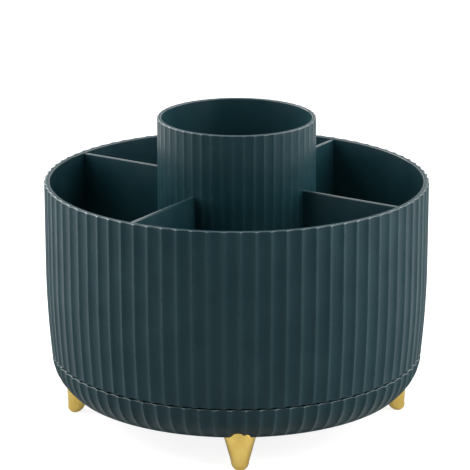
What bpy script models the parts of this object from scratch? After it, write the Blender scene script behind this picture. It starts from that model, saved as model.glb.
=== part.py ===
"""Rotating desk caddy for small tools: a fluted drum with a tall centre cup and four partitions turns on
a ball ring above a fluted base, which stands on four splayed metal-coloured feet.

Metres, +Z up. The origin is on the ground at the axis of rotation, and -Y is the front.
"""

import math

import bmesh
import bpy
from mathutils import Matrix, Vector

MM = 0.001

# Fits: the gap between pieces that rest on, fit in or run past each other
CLEARANCE = 0.3 * MM

# Drum, which turns
DRUM_RADIUS = 80.0 * MM
DRUM_HEIGHT = 74.0 * MM
DRUM_WALL = 2.4 * MM
DRUM_FLOOR = 2.4 * MM
DRUM_TUCK = 2.0 * MM
DRUM_TUCK_HEIGHT = 40.0 * MM
RIM_ROUND = 0.6 * MM
FLUTE_COUNT = 81
FLUTE_DEPTH = 0.85 * MM
FLUTE_FLATNESS = 3.0
DRUM_FLUTE_TURN = math.radians(-0.4)

# Base, which stands still
SEAM_GAP = 0.4 * MM
BASE_HEIGHT = 14.1 * MM
BASE_PROUD = 0.1 * MM
BASE_TUCK = 7.3 * MM
BASE_CURL = 2.5
BASE_WALL = 2.2 * MM
BASE_PLATE = 2.2 * MM
BASE_EDGE_ROUND = 0.5 * MM
BASE_FLUTE_FADE = 1.6 * MM
BASE_FLUTE_TURN = math.radians(1.2)

# Centre cup and partitions
CUP_RADIUS = 33.0 * MM
CUP_ABOVE_RIM = 26.3 * MM
CUP_WALL = 1.8 * MM
CUP_FLOOR = 2.0 * MM
CUP_FLOOR_RAISE = 5.0 * MM
CUP_ROUND = 0.5 * MM
CUP_FLUTE_COUNT = 48
CUP_FLUTE_DEPTH = 0.25 * MM
LOCATING_RING_WIDTH = 1.5 * MM
LOCATING_RING_HEIGHT = 2.0 * MM
PARTITION_ANGLE = math.radians(-34.0)
PARTITION_COUNT = 4
PARTITION_THICKNESS = 1.6 * MM
PARTITION_BELOW_RIM = 0.5 * MM
PARTITION_EDGE_ROUND = 0.4 * MM
SLOT_IN_WALL = 0.6 * MM
SLOT_IN_CUP = 1.1 * MM

# Ball ring
BALL_RADIUS = 3.0 * MM
BALL_COUNT = 10
BALL_CIRCLE = 50.0 * MM
TRACK_LIP = 1.6 * MM
TRACK_BITE = 1.5 * MM
CAGE_THICKNESS = 2.0 * MM
CAGE_WIDTH = 10.4 * MM

# Pivot: a post under the drum runs in a sleeve on the base, held by a washer and a screw
POST_RADIUS = 5.0 * MM
SLEEVE_WALL = 2.6 * MM
SLEEVE_WEB = 2.2 * MM
PIVOT_RECESS_DEPTH = 4.0 * MM
WASHER_RADIUS = 7.6 * MM
WASHER_THICKNESS = 1.0 * MM
PIVOT_SHANK = 1.6 * MM
PIVOT_SHANK_LENGTH = 8.0 * MM
PIVOT_HEAD = 3.6 * MM
PIVOT_HEAD_HEIGHT = 1.7 * MM

# Small screws that hold the cup to the drum and the feet to the base
SCREW_SHANK = 1.3 * MM
SCREW_HEAD = 2.7 * MM
SCREW_HEAD_HEIGHT = 1.5 * MM
SCREW_BITE = 4.0 * MM
CUP_SCREW_COUNT = 3
CUP_SCREW_INSET = 11.0 * MM
CUP_BOSS_RADIUS = 3.6 * MM

# Feet
FOOT_HEIGHT = 14.3 * MM
FOOT_TOP_RADIUS = 6.9 * MM
FOOT_TIP_RADIUS = 3.7 * MM
FOOT_PAD_RADIUS = 1.6 * MM
FOOT_INSET = 5.4 * MM
FOOT_SPLAY = math.radians(14.0)
FOOT_BOSS_RADIUS = 3.8 * MM
FOOT_BOSS_HEIGHT = 2.0 * MM
FOOT_SCREW_BITE = 6.5 * MM
FOOT_NAMES = ("front", "right", "back", "left")

# Facets
FLUTE_STEPS = 3
WALL_STEPS = FLUTE_COUNT
RING_STEPS = 40
SMALL_STEPS = 12
TUCK_STEPS = 2
BASE_STEPS = 4
GROOVE_STEPS = 3
FOOT_STEPS = 16
TIP_STEPS = 3
BALL_SUBDIVISIONS = 2
SMOOTH_ANGLE = math.radians(32.0)

# Heights, worked out from the sizes above
BASE_BOTTOM = FOOT_HEIGHT
BASE_TOP = BASE_BOTTOM + BASE_HEIGHT
DRUM_BOTTOM = BASE_TOP + SEAM_GAP
RIM = DRUM_BOTTOM + DRUM_HEIGHT
FLOOR_TOP = DRUM_BOTTOM + DRUM_FLOOR
PLATE_TOP = BASE_BOTTOM + BASE_PLATE
CUP_TOP = RIM + CUP_ABOVE_RIM
CUP_BOTTOM = FLOOR_TOP + CLEARANCE
CUP_FLOOR_UNDER = CUP_BOTTOM + CUP_FLOOR_RAISE
PARTITION_TOP = RIM - PARTITION_BELOW_RIM
BALL_HEIGHT = (PLATE_TOP + DRUM_BOTTOM) / 2
WEB_BOTTOM = BASE_BOTTOM + PIVOT_RECESS_DEPTH
WASHER_TOP = WEB_BOTTOM - CLEARANCE
SLEEVE_BORE = POST_RADIUS + CLEARANCE
FOOT_CIRCLE = DRUM_RADIUS - DRUM_TUCK - BASE_TUCK - FOOT_INSET
CUP_SCREW_CIRCLE = CUP_RADIUS - CUP_SCREW_INSET
CUP_BORE = CUP_RADIUS - CUP_WALL
CUP_SLOT_FLOOR = CUP_RADIUS - SLOT_IN_CUP


def clear_scene():
    for thing in list(bpy.data.objects):
        bpy.data.objects.remove(thing)


def finish_material(name, colour, roughness, metallic):
    material = bpy.data.materials.new(name)
    material.use_nodes = True
    shader = material.node_tree.nodes["Principled BSDF"]
    shader.inputs["Base Color"].default_value = (*colour, 1.0)
    shader.inputs["Roughness"].default_value = roughness
    shader.inputs["Metallic"].default_value = metallic
    return material


def add_object(name, mesh_maker, material, parent=None, location=(0, 0, 0), turn=0.0):
    """A named object from a bmesh, shaded smooth apart from its sharp edges."""
    bmesh.ops.recalc_face_normals(mesh_maker, faces=mesh_maker.faces)
    mesh = bpy.data.meshes.new(name)
    mesh_maker.to_mesh(mesh)
    mesh_maker.free()
    mesh.shade_smooth()
    mesh.set_sharp_from_angle(angle=SMOOTH_ANGLE)
    thing = bpy.data.objects.new(name, mesh)
    bpy.context.scene.collection.objects.link(thing)
    if material:
        mesh.materials.append(material)
    thing.parent = parent
    thing.location = location
    thing.rotation_euler.z = turn
    return thing


def add_body(name):
    """An empty on the axis of rotation that carries the pieces of one moving body."""
    body = bpy.data.objects.new(name, None)
    bpy.context.scene.collection.objects.link(body)
    return body


def carve(target, cutter, operation="DIFFERENCE"):
    """Cuts the cutter from the target, or joins it on, and keeps the cutter as a hidden guide."""
    cutter.hide_render = True
    cutter.display_type = "WIRE"
    cutter.parent = target.parent
    boolean = target.modifiers.new(cutter.name, "BOOLEAN")
    boolean.operation = operation
    boolean.solver = "EXACT"
    boolean.object = cutter


def flute_share(turn, count):
    """How deep a concave flute is at an angle, from 0 on a ridge to 1 along its middle."""
    across = 2.0 * ((turn * count / math.tau) % 1.0) - 1.0
    return 1.0 - abs(across)**FLUTE_FLATNESS


def zip_rings(mesh_maker, lower, upper):
    """Faces between two closed rings that may have unlike numbers of points."""
    i = j = 0
    n, m = len(lower), len(upper)
    while i < n or j < m:
        step_lower = j >= m or (i < n and (i + 1) * m <= (j + 1) * n)
        step_upper = i >= n or (j < m and (j + 1) * n <= (i + 1) * m)
        corners = [lower[i % n], upper[j % m]]
        if step_upper and m > 1:
            corners.append(upper[(j + 1) % m])
        if step_lower and n > 1:
            corners.append(lower[(i + 1) % n])
        if len(corners) > 2:
            mesh_maker.faces.new(corners)
        i += step_lower
        j += step_upper


def turned(profile, flutes=0, depth=0.0, turn=0.0, closed=False):
    """A solid turned about Z from rows of (radius, height, points round, share of the flute depth)."""
    mesh_maker = bmesh.new()
    rings = []
    for radius, height, steps, share in profile:
        ring = []
        for step in range(steps):
            angle = math.tau * step / steps
            cut = depth * share * flute_share(angle, flutes) if flutes else 0.0
            reach = radius - cut
            place = (reach * math.cos(angle + turn), reach * math.sin(angle + turn), height)
            ring.append(mesh_maker.verts.new(place))
        rings.append(ring)
    for lower, upper in zip(rings, rings[1:]):
        zip_rings(mesh_maker, lower, upper)
    if closed:
        zip_rings(mesh_maker, rings[-1], rings[0])
    return mesh_maker


def drum_ridge(height):
    """The drum's outer radius over its ridges: straight above, tucked in towards the seam."""
    low = max(0.0, 1.0 - (height - DRUM_BOTTOM) / DRUM_TUCK_HEIGHT)
    return DRUM_RADIUS - DRUM_TUCK * low * low


def base_ridge(height):
    """The base's outer radius over its ridges: a little proud of the drum, then curled in underneath."""
    low = (BASE_TOP - height) / BASE_HEIGHT
    slope = 2.0 * DRUM_TUCK / DRUM_TUCK_HEIGHT * BASE_HEIGHT
    curl = BASE_PROUD + BASE_TUCK - slope
    return drum_ridge(DRUM_BOTTOM) + BASE_PROUD - slope * low - curl * low**BASE_CURL


def track(middle, opens):
    """A rib with a ball groove in it, from its inner to its outer foot: +1 opens upwards, -1 downwards."""
    groove = BALL_RADIUS + CLEARANCE
    lip = BALL_HEIGHT - opens * TRACK_BITE
    half = math.sqrt(groove**2 - TRACK_BITE**2)
    rows = [(middle - half - TRACK_LIP, lip)]
    sweep = math.asin(half / groove)
    for step in range(GROOVE_STEPS + 1):
        angle = sweep * (2.0 * step / GROOVE_STEPS - 1.0)
        rows.append((middle + groove * math.sin(angle), BALL_HEIGHT - opens * groove * math.cos(angle)))
    rows.append((middle + half + TRACK_LIP, lip))
    return rows


def rows_of(points, steps):
    return [(radius, height, steps, 0.0) for radius, height in points]


def drum_profile():
    """The drum's section, from the axis under the post, out along the underside, up the wall and back."""
    steps = FLUTE_COUNT * FLUTE_STEPS
    hole = PIVOT_SHANK + CLEARANCE
    hole_top = WEB_BOTTOM + PIVOT_SHANK_LENGTH
    rows = [(0.0, hole_top, 1, 0.0)]
    rows += rows_of([(hole, hole_top), (hole, WEB_BOTTOM)], SMALL_STEPS)
    rows += rows_of([(POST_RADIUS, WEB_BOTTOM), (POST_RADIUS, DRUM_BOTTOM)], SMALL_STEPS)
    ribs = track(BALL_CIRCLE, -1.0)
    rows += rows_of([(ribs[0][0], DRUM_BOTTOM), *ribs, (ribs[-1][0], DRUM_BOTTOM)], RING_STEPS)
    for step in range(TUCK_STEPS + 1):
        height = DRUM_BOTTOM + DRUM_TUCK_HEIGHT * step / TUCK_STEPS
        rows.append((drum_ridge(height), height, steps, 1.0))
    rows.append((DRUM_RADIUS, RIM - RIM_ROUND, steps, 1.0))
    rows.append((DRUM_RADIUS - RIM_ROUND, RIM, steps, 1.0))
    inside = [(DRUM_RADIUS - DRUM_WALL + RIM_ROUND / 2, RIM), (DRUM_RADIUS - DRUM_WALL, RIM - RIM_ROUND)]
    for step in range(TUCK_STEPS):
        height = DRUM_BOTTOM + DRUM_TUCK_HEIGHT * (1.0 - step / TUCK_STEPS)
        inside.append((drum_ridge(height) - DRUM_WALL, height))
    inside.append((drum_ridge(FLOOR_TOP) - DRUM_WALL, FLOOR_TOP))
    rows += rows_of(inside, WALL_STEPS)
    ring = CUP_BORE - CLEARANCE
    ring_top = FLOOR_TOP + LOCATING_RING_HEIGHT
    inner = ring - LOCATING_RING_WIDTH
    rows += rows_of([(ring, FLOOR_TOP), (ring, ring_top), (inner, ring_top), (inner, FLOOR_TOP)], RING_STEPS)
    rows.append((0.0, FLOOR_TOP, 1, 0.0))
    return rows


def base_profile():
    """The base's section, from its pivot bore out along the underside, up the fluted side and back inside."""
    steps = FLUTE_COUNT * FLUTE_STEPS
    recess = WASHER_RADIUS + 2.0 * CLEARANCE
    sleeve_top = DRUM_BOTTOM - 2.0 * CLEARANCE
    rows = rows_of([(SLEEVE_BORE, sleeve_top), (SLEEVE_BORE, WEB_BOTTOM), (recess, WEB_BOTTOM)], SMALL_STEPS)
    rows += rows_of([(recess, BASE_BOTTOM)], SMALL_STEPS)
    edge = base_ridge(BASE_BOTTOM) - BASE_EDGE_ROUND
    rows.append((edge, BASE_BOTTOM, steps, 0.0))
    low = BASE_BOTTOM + BASE_EDGE_ROUND
    for step in range(BASE_STEPS + 1):
        height = low + (BASE_TOP - low) * step / BASE_STEPS
        share = min(1.0, (height - BASE_BOTTOM) / BASE_FLUTE_FADE)
        rows.append((base_ridge(height), height, steps, share))
    inside = []
    for step in range(BASE_STEPS):
        height = BASE_TOP - (BASE_TOP - PLATE_TOP) * step / BASE_STEPS
        inside.append((base_ridge(height) - BASE_WALL, height))
    inside.append((base_ridge(PLATE_TOP) - BASE_WALL, PLATE_TOP))
    rows += rows_of(inside, WALL_STEPS)
    ribs = track(BALL_CIRCLE, 1.0)
    rows += rows_of([(ribs[-1][0], PLATE_TOP), *reversed(ribs), (ribs[0][0], PLATE_TOP)], RING_STEPS)
    sleeve = SLEEVE_BORE + SLEEVE_WALL
    shoulder = recess + SLEEVE_WEB
    web_top = WEB_BOTTOM + SLEEVE_WEB
    rows += rows_of([(shoulder, PLATE_TOP), (shoulder, web_top), (sleeve, web_top)], SMALL_STEPS)
    rows += rows_of([(sleeve, sleeve_top)], SMALL_STEPS)
    return rows


def cup_profile():
    """The cup's section: an open tube with its floor raised clear of the screw bosses under it."""
    steps = CUP_FLUTE_COUNT * FLUTE_STEPS
    floor_top = CUP_FLOOR_UNDER + CUP_FLOOR
    rows = [(0.0, CUP_FLOOR_UNDER, 1, 0.0)]
    rows += rows_of([(CUP_BORE, CUP_FLOOR_UNDER), (CUP_BORE, CUP_BOTTOM)], RING_STEPS)
    rows.append((CUP_RADIUS, CUP_BOTTOM, steps, 1.0))
    rows.append((CUP_RADIUS, CUP_TOP - CUP_ROUND, steps, 1.0))
    rows.append((CUP_RADIUS - CUP_ROUND / 2, CUP_TOP, steps, 1.0))
    rows += rows_of([(CUP_BORE, CUP_TOP), (CUP_BORE, floor_top)], RING_STEPS)
    rows.append((0.0, floor_top, 1, 0.0))
    return rows


def posts(places, radius, low, high):
    """Upright round posts at the given places, as one set of separate solids."""
    mesh_maker = bmesh.new()
    for place in places:
        at = Matrix.Translation((place.x, place.y, (low + high) / 2))
        bmesh.ops.create_cone(
            mesh_maker, cap_ends=True, segments=SMALL_STEPS, radius1=radius, radius2=radius,
            depth=high - low, matrix=at,
        )
    return mesh_maker


def round_places(circle, count, first=0.0):
    """Points evenly round a circle, the first at an angle from the front towards +X."""
    found = []
    for step in range(count):
        angle = first + math.tau * step / count
        found.append(Vector((circle * math.sin(angle), -circle * math.cos(angle), 0.0)))
    return found


def partition_outline():
    """Radius and height round one partition: straight at the cup, along the drum's wall outside."""
    reach = SLOT_IN_WALL - CLEARANCE - DRUM_WALL
    outline = [(CUP_SLOT_FLOOR + CLEARANCE, PARTITION_TOP), (CUP_SLOT_FLOOR + CLEARANCE, CUP_BOTTOM)]
    outline.append((drum_ridge(CUP_BOTTOM) + reach, CUP_BOTTOM))
    for step in range(1, TUCK_STEPS + 1):
        height = DRUM_BOTTOM + DRUM_TUCK_HEIGHT * step / TUCK_STEPS
        outline.append((drum_ridge(height) + reach, height))
    outline.append((DRUM_RADIUS + reach, PARTITION_TOP))
    return outline


def extruded_outline(outline, thickness):
    """A flat outline in radius and height, given a thickness across the radius."""
    mesh_maker = bmesh.new()
    corners = [mesh_maker.verts.new((radius, -thickness / 2, height)) for radius, height in outline]
    face = mesh_maker.faces.new(corners)
    grown = bmesh.ops.extrude_face_region(mesh_maker, geom=[face])
    moved = [part for part in grown["geom"] if isinstance(part, bmesh.types.BMVert)]
    bmesh.ops.translate(mesh_maker, verts=moved, vec=(0.0, thickness, 0.0))
    return mesh_maker


def partition_mesh():
    """One partition along +X, with its long top edges rounded."""
    mesh_maker = extruded_outline(partition_outline(), PARTITION_THICKNESS)
    top = [
        edge for edge in mesh_maker.edges
        if all(abs(vert.co.z - PARTITION_TOP) < CLEARANCE / 10 for vert in edge.verts)
        and abs(edge.verts[0].co.y - edge.verts[1].co.y) < CLEARANCE
    ]
    bmesh.ops.bevel(
        mesh_maker, geom=top, offset=PARTITION_EDGE_ROUND, segments=2, affect="EDGES", profile=0.5
    )
    return mesh_maker


def partition_turns():
    """The turn about Z of each partition, from +X."""
    first = PARTITION_ANGLE - math.pi / 2
    return [first + math.tau * step / PARTITION_COUNT for step in range(PARTITION_COUNT)]


def at_each_partition(mesh_maker):
    """Turns a shape that lies along +X to the first partition, and copies it to the others."""
    turns = partition_turns()
    bmesh.ops.recalc_face_normals(mesh_maker, faces=mesh_maker.faces)
    shape = [*mesh_maker.verts, *mesh_maker.edges, *mesh_maker.faces]
    for turn in turns[1:]:
        copied = bmesh.ops.duplicate(mesh_maker, geom=shape)["geom"]
        corners = [part for part in copied if isinstance(part, bmesh.types.BMVert)]
        bmesh.ops.rotate(mesh_maker, verts=corners, matrix=Matrix.Rotation(turn, 3, "Z"))
    first = [part for part in shape if isinstance(part, bmesh.types.BMVert)]
    bmesh.ops.rotate(mesh_maker, verts=first, matrix=Matrix.Rotation(turns[0], 3, "Z"))
    return mesh_maker


def cup_slot_cutter():
    """The upright slots in the cup's outside, closed above the partitions."""
    outer = CUP_RADIUS + CUP_WALL
    low, high = CUP_BOTTOM - CLEARANCE, PARTITION_TOP + CLEARANCE
    outline = [(CUP_SLOT_FLOOR, high), (CUP_SLOT_FLOOR, low), (outer, low), (outer, high)]
    return at_each_partition(extruded_outline(outline, PARTITION_THICKNESS + 2.0 * CLEARANCE))


def wall_slot_cutter():
    """The slots inside the drum's wall: they follow its line and run out through the rim."""
    low, high = FLOOR_TOP + CLEARANCE / 2, RIM + RIM_ROUND
    wall = [(radius + CLEARANCE, height) for radius, height in partition_outline()[2:]]
    wall[0] = (wall[0][0], low)
    wall[-1] = (wall[-1][0], high)
    inner = CUP_RADIUS + CUP_WALL
    outline = [(inner, high), (inner, low), *wall]
    return at_each_partition(extruded_outline(outline, PARTITION_THICKNESS + 2.0 * CLEARANCE))


def screw_mesh(shank, length, head, head_height):
    """A pan-head screw with its head's seat at the origin and its shank along +Z."""
    bevel = head_height / 2
    sides = [(head - bevel, -head_height), (head, -bevel), (head, 0.0), (shank, 0.0), (shank, length - shank)]
    return turned([(0.0, -head_height, 1, 0.0), *rows_of(sides, SMALL_STEPS), (0.0, length, 1, 0.0)])


def washer_mesh():
    bore = PIVOT_SHANK + CLEARANCE
    low = WASHER_TOP - WASHER_THICKNESS
    corners = [(bore, low), (WASHER_RADIUS, low), (WASHER_RADIUS, WASHER_TOP), (bore, WASHER_TOP)]
    return turned(rows_of(corners, SMALL_STEPS), closed=True)


def cage_mesh():
    half = CAGE_WIDTH / 2
    low, high = BALL_HEIGHT - CAGE_THICKNESS / 2, BALL_HEIGHT + CAGE_THICKNESS / 2
    inner, outer = BALL_CIRCLE - half, BALL_CIRCLE + half
    corners = [(inner, low), (outer, low), (outer, high), (inner, high)]
    return turned(rows_of(corners, RING_STEPS), closed=True)


def ball_mesh():
    mesh_maker = bmesh.new()
    bmesh.ops.create_icosphere(mesh_maker, subdivisions=BALL_SUBDIVISIONS, radius=BALL_RADIUS)
    return mesh_maker


def foot_mesh():
    """A splayed, tapered foot with a round tip, leaning out along +X, its top centre at the origin."""
    top = -CLEARANCE
    sweep = math.acos(FOOT_PAD_RADIUS / FOOT_TIP_RADIUS)
    rise = FOOT_TIP_RADIUS * math.sin(sweep)
    rows = [(FOOT_TOP_RADIUS, top)]
    for step in range(TIP_STEPS + 1):
        angle = sweep * step / TIP_STEPS
        height = rise - FOOT_HEIGHT - FOOT_TIP_RADIUS * math.sin(angle)
        rows.append((FOOT_TIP_RADIUS * math.cos(angle), height))
    mesh_maker = turned([(0.0, top, 1, 0.0), *rows_of(rows, FOOT_STEPS), (0.0, -FOOT_HEIGHT, 1, 0.0)])
    for vert in mesh_maker.verts:
        vert.co.x -= vert.co.z * math.tan(FOOT_SPLAY)
    return mesh_maker


def build_carousel(plastic, steel):
    """Everything that turns with the drum."""
    body = add_body("carousel")
    drum_mesh = turned(drum_profile(), FLUTE_COUNT, FLUTE_DEPTH, DRUM_FLUTE_TURN - math.pi / 2)
    drum = add_object("drum", drum_mesh, plastic, body)
    carve(drum, add_object("wall_slots", wall_slot_cutter(), None))
    screw_places = round_places(CUP_SCREW_CIRCLE, CUP_SCREW_COUNT)
    hole = SCREW_SHANK + CLEARANCE
    through = posts(screw_places, hole, DRUM_BOTTOM - DRUM_FLOOR, FLOOR_TOP + CLEARANCE / 2)
    carve(drum, add_object("cup_screw_ways", through, None))

    cup_mesh = turned(cup_profile(), CUP_FLUTE_COUNT, CUP_FLUTE_DEPTH, PARTITION_ANGLE - math.pi / 2)
    cup = add_object("centre_cup", cup_mesh, plastic, body)
    boss_top = CUP_FLOOR_UNDER + CUP_FLOOR / 2
    bosses = posts(screw_places, CUP_BOSS_RADIUS, CUP_BOTTOM, boss_top)
    carve(cup, add_object("cup_bosses", bosses, None), "UNION")
    bite = CUP_BOTTOM + SCREW_BITE + CLEARANCE
    carve(cup, add_object("cup_boss_holes", posts(screw_places, hole, CUP_BOTTOM - CLEARANCE, bite), None))
    carve(cup, add_object("cup_slots", cup_slot_cutter(), None))

    for step, turn in enumerate(partition_turns()):
        add_object(f"partition_{step + 1}", partition_mesh(), plastic, body, turn=turn)

    seat = DRUM_BOTTOM - CLEARANCE
    length = CUP_BOTTOM - seat + SCREW_BITE
    for step, place in enumerate(screw_places):
        mesh_maker = screw_mesh(SCREW_SHANK, length, SCREW_HEAD, SCREW_HEAD_HEIGHT)
        add_object(f"cup_screw_{step + 1}", mesh_maker, steel, body, (place.x, place.y, seat))

    add_object("pivot_washer", washer_mesh(), steel, body)
    seat = WASHER_TOP - WASHER_THICKNESS - CLEARANCE
    length = WEB_BOTTOM + PIVOT_SHANK_LENGTH - CLEARANCE - seat
    mesh_maker = screw_mesh(PIVOT_SHANK, length, PIVOT_HEAD, PIVOT_HEAD_HEIGHT)
    add_object("pivot_screw", mesh_maker, steel, body, (0.0, 0.0, seat))


def build_ball_ring(cage_plastic, steel):
    """The cage and its balls, which roll round at half the drum's speed."""
    body = add_body("ball_ring")
    cage = add_object("ball_cage", cage_mesh(), cage_plastic, body)
    places = round_places(BALL_CIRCLE, BALL_COUNT)
    low, high = BALL_HEIGHT - CAGE_THICKNESS, BALL_HEIGHT + CAGE_THICKNESS
    pockets = posts(places, BALL_RADIUS + CLEARANCE, low, high)
    carve(cage, add_object("ball_pockets", pockets, None))
    for step, place in enumerate(places):
        add_object(f"ball_{step + 1}", ball_mesh(), steel, body, (place.x, place.y, BALL_HEIGHT))


def build_stand(plastic, gold, steel):
    """The base and its feet."""
    body = add_body("stand")
    base_mesh = turned(base_profile(), FLUTE_COUNT, FLUTE_DEPTH, BASE_FLUTE_TURN - math.pi / 2, closed=True)
    base = add_object("base", base_mesh, plastic, body)
    places = round_places(FOOT_CIRCLE, len(FOOT_NAMES))
    boss_top = PLATE_TOP + FOOT_BOSS_HEIGHT
    bosses = posts(places, FOOT_BOSS_RADIUS, BASE_BOTTOM + BASE_PLATE / 2, boss_top)
    carve(base, add_object("foot_bosses", bosses, None), "UNION")
    hole = SCREW_SHANK + CLEARANCE
    ways = posts(places, hole, BASE_BOTTOM - BASE_PLATE, boss_top + CLEARANCE)
    carve(base, add_object("foot_screw_ways", ways, None))

    seat = boss_top + CLEARANCE
    length = seat - BASE_BOTTOM + FOOT_SCREW_BITE
    for step, (name, place) in enumerate(zip(FOOT_NAMES, places)):
        turn = math.tau * step / len(FOOT_NAMES) - math.pi / 2
        foot = add_object(f"foot_{name}", foot_mesh(), gold, body, (place.x, place.y, BASE_BOTTOM), turn)
        bore = posts([place], hole, BASE_BOTTOM - FOOT_SCREW_BITE - CLEARANCE, BASE_BOTTOM)
        carve(foot, add_object(f"foot_bore_{name}", bore, None))
        mesh_maker = screw_mesh(SCREW_SHANK, length, SCREW_HEAD, SCREW_HEAD_HEIGHT)
        screw = add_object(f"foot_screw_{name}", mesh_maker, steel, body, (place.x, place.y, seat))
        screw.rotation_euler.x = math.pi


def main():
    clear_scene()
    plastic = finish_material("deep_green_plastic", (0.028, 0.062, 0.068), 0.42, 0.0)
    gold = finish_material("gold_plate", (0.72, 0.48, 0.13), 0.25, 1.0)
    steel = finish_material("zinc_steel", (0.55, 0.55, 0.56), 0.35, 1.0)
    cage_plastic = finish_material("white_cage_plastic", (0.7, 0.7, 0.68), 0.5, 0.0)
    build_carousel(plastic, steel)
    build_ball_ring(cage_plastic, steel)
    build_stand(plastic, gold, steel)


main()
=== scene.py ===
"""The looks of a rotating desk caddy: satin fluted plastic, satin gold feet and a steel ball ring."""

import math

import bmesh
import bpy
from mathutils import Matrix, Vector


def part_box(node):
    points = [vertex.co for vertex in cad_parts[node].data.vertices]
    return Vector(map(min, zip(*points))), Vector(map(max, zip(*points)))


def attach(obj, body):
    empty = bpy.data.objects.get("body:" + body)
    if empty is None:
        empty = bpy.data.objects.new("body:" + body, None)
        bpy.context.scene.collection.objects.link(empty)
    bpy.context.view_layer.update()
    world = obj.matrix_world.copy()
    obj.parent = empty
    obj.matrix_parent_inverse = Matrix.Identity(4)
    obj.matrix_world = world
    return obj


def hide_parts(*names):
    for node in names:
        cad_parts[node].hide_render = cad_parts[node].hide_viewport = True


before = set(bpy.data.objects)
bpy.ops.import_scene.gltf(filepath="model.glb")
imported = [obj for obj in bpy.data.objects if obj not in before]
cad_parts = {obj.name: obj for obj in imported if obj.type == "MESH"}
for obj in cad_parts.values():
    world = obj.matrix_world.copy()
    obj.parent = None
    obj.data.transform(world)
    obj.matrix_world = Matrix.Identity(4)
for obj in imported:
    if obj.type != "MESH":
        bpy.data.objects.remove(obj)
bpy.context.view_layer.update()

MM = 0.001

# Sizes that the frame gives
drum_low, drum_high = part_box("drum")
base_low, base_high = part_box("base")
cup_low, cup_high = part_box("centre_cup")
foot_low, foot_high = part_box("foot_front")
foot_screw_low, foot_screw_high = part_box("foot_screw_front")
washer_low, washer_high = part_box("pivot_washer")
cage_low, cage_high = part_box("ball_cage")
ball_low, ball_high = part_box("ball_1")
partition_low, partition_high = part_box("partition_1")
DRUM_RADIUS = (drum_high.x - drum_low.x) / 2
RIM = drum_high.z
POST_END = drum_low.z
BASE_TOP = base_high.z
BASE_BOTTOM = base_low.z
CUP_RADIUS = (cup_high.x - cup_low.x) / 2
CUP_TOP = cup_high.z
CUP_BOTTOM = cup_low.z
PARTITION_TOP = partition_high.z
FOOT_TOP_RADIUS = (foot_high.x - foot_low.x) / 2
BALL_RADIUS = (ball_high.z - ball_low.z) / 2
BALL_HEIGHT = (ball_high.z + ball_low.z) / 2
BALL_CIRCLE = -(ball_high.y + ball_low.y) / 2
CAGE_RADIUS = (cage_high.x - cage_low.x) / 2
WASHER_RADIUS = (washer_high.x - washer_low.x) / 2

# Sizes of the moulded walls
CLEARANCE = 0.3 * MM
SEAM_GAP = 0.4 * MM
DRUM_WALL = 2.4 * MM
DRUM_FLOOR = 2.4 * MM
DRUM_TUCK = 2.0 * MM
DRUM_TUCK_HEIGHT = 40.0 * MM
RIM_ROUND = 0.45 * MM
FLOOR_ROUND = 1.5 * MM
SEAM_ROUND = 0.45 * MM
EDGE_ROUND = 0.4 * MM
DRUM_BOTTOM = BASE_TOP + SEAM_GAP
FLOOR_TOP = DRUM_BOTTOM + DRUM_FLOOR
BASE_PROUD = 0.1 * MM
BASE_TUCK = 7.3 * MM
BASE_CURL = 2.5
BASE_WALL = 2.2 * MM
BASE_PLATE = 2.2 * MM
BASE_EDGE_ROUND = 0.7 * MM
BASE_EDGE_BAND = 3 * BASE_EDGE_ROUND
BASE_FLUTE_FADE = 1.6 * MM
BASE_HEIGHT = BASE_TOP - BASE_BOTTOM
PLATE_TOP = BASE_BOTTOM + BASE_PLATE
CUP_WALL = 1.8 * MM
CUP_FLOOR = 2.0 * MM
CUP_FLOOR_RAISE = 5.0 * MM
CUP_BORE = CUP_RADIUS - CUP_WALL
LOCATING_RING_WIDTH = 1.5 * MM
LOCATING_RING_HEIGHT = 2.0 * MM
PARTITION_COUNT = 4
PARTITION_ANGLE = math.radians(-34.0)
PARTITION_THICKNESS = 1.6 * MM
PARTITION_ROUND = 0.5 * MM
SLOT_IN_CUP = 1.1 * MM
SLOT_IN_WALL = 0.6 * MM
PARTITION_INNER = CUP_RADIUS - SLOT_IN_CUP + CLEARANCE
PARTITION_REACH = SLOT_IN_WALL - CLEARANCE - DRUM_WALL

# Flutes. The ridge's rounding is a share of half a flute's width
FLUTE_COUNT = 81
DRUM_FLUTE_DEPTH = 0.7 * MM
BASE_FLUTE_DEPTH = 0.85 * MM
FLUTE_FLATNESS = 3.0
DRUM_FLUTE_TURN = math.radians(-0.4)
BASE_FLUTE_TURN = math.radians(1.2)
CUP_FLUTE_COUNT = 48
CUP_FLUTE_DEPTH = 0.25 * MM
FLUTE_STEPS = 12
RIDGE_ROUND = 0.08

# Ball ring and pivot
TRACK_LIP = 1.6 * MM
TRACK_BITE = 1.5 * MM
POST_RADIUS = 5.0 * MM
PIVOT_HOLE = 1.9 * MM
PIVOT_HOLE_DEPTH = 8.0 * MM
SLEEVE_BORE = POST_RADIUS + CLEARANCE
SLEEVE_WALL = 2.6 * MM
SLEEVE_WEB = 2.2 * MM
PIVOT_RECESS = WASHER_RADIUS + 2 * CLEARANCE
BALL_COUNT = 10
WASHER_ROUND = 0.2 * MM

# Screws and the bosses they bite into
SCREW_SHANK = 1.3 * MM
PIVOT_SHANK = 1.6 * MM
SCREW_PITCH = 1.0 * MM
THREAD_DEPTH = 0.3 * MM
PAN_FLAT_SHARE = 0.75
PAN_HEAD_ROUND = 1.0 * MM
PAN_SEAT_ROUND = 0.15 * MM
RECESS_BAR_SHARE = 0.28
CUP_SCREW_COUNT = 3
CUP_BOSS_RADIUS = 3.6 * MM
FOOT_BOSS_RADIUS = 3.8 * MM
FOOT_BOSS_HEIGHT = 2.0 * MM
BOSS_HOLE = SCREW_SHANK + CLEARANCE

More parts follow.
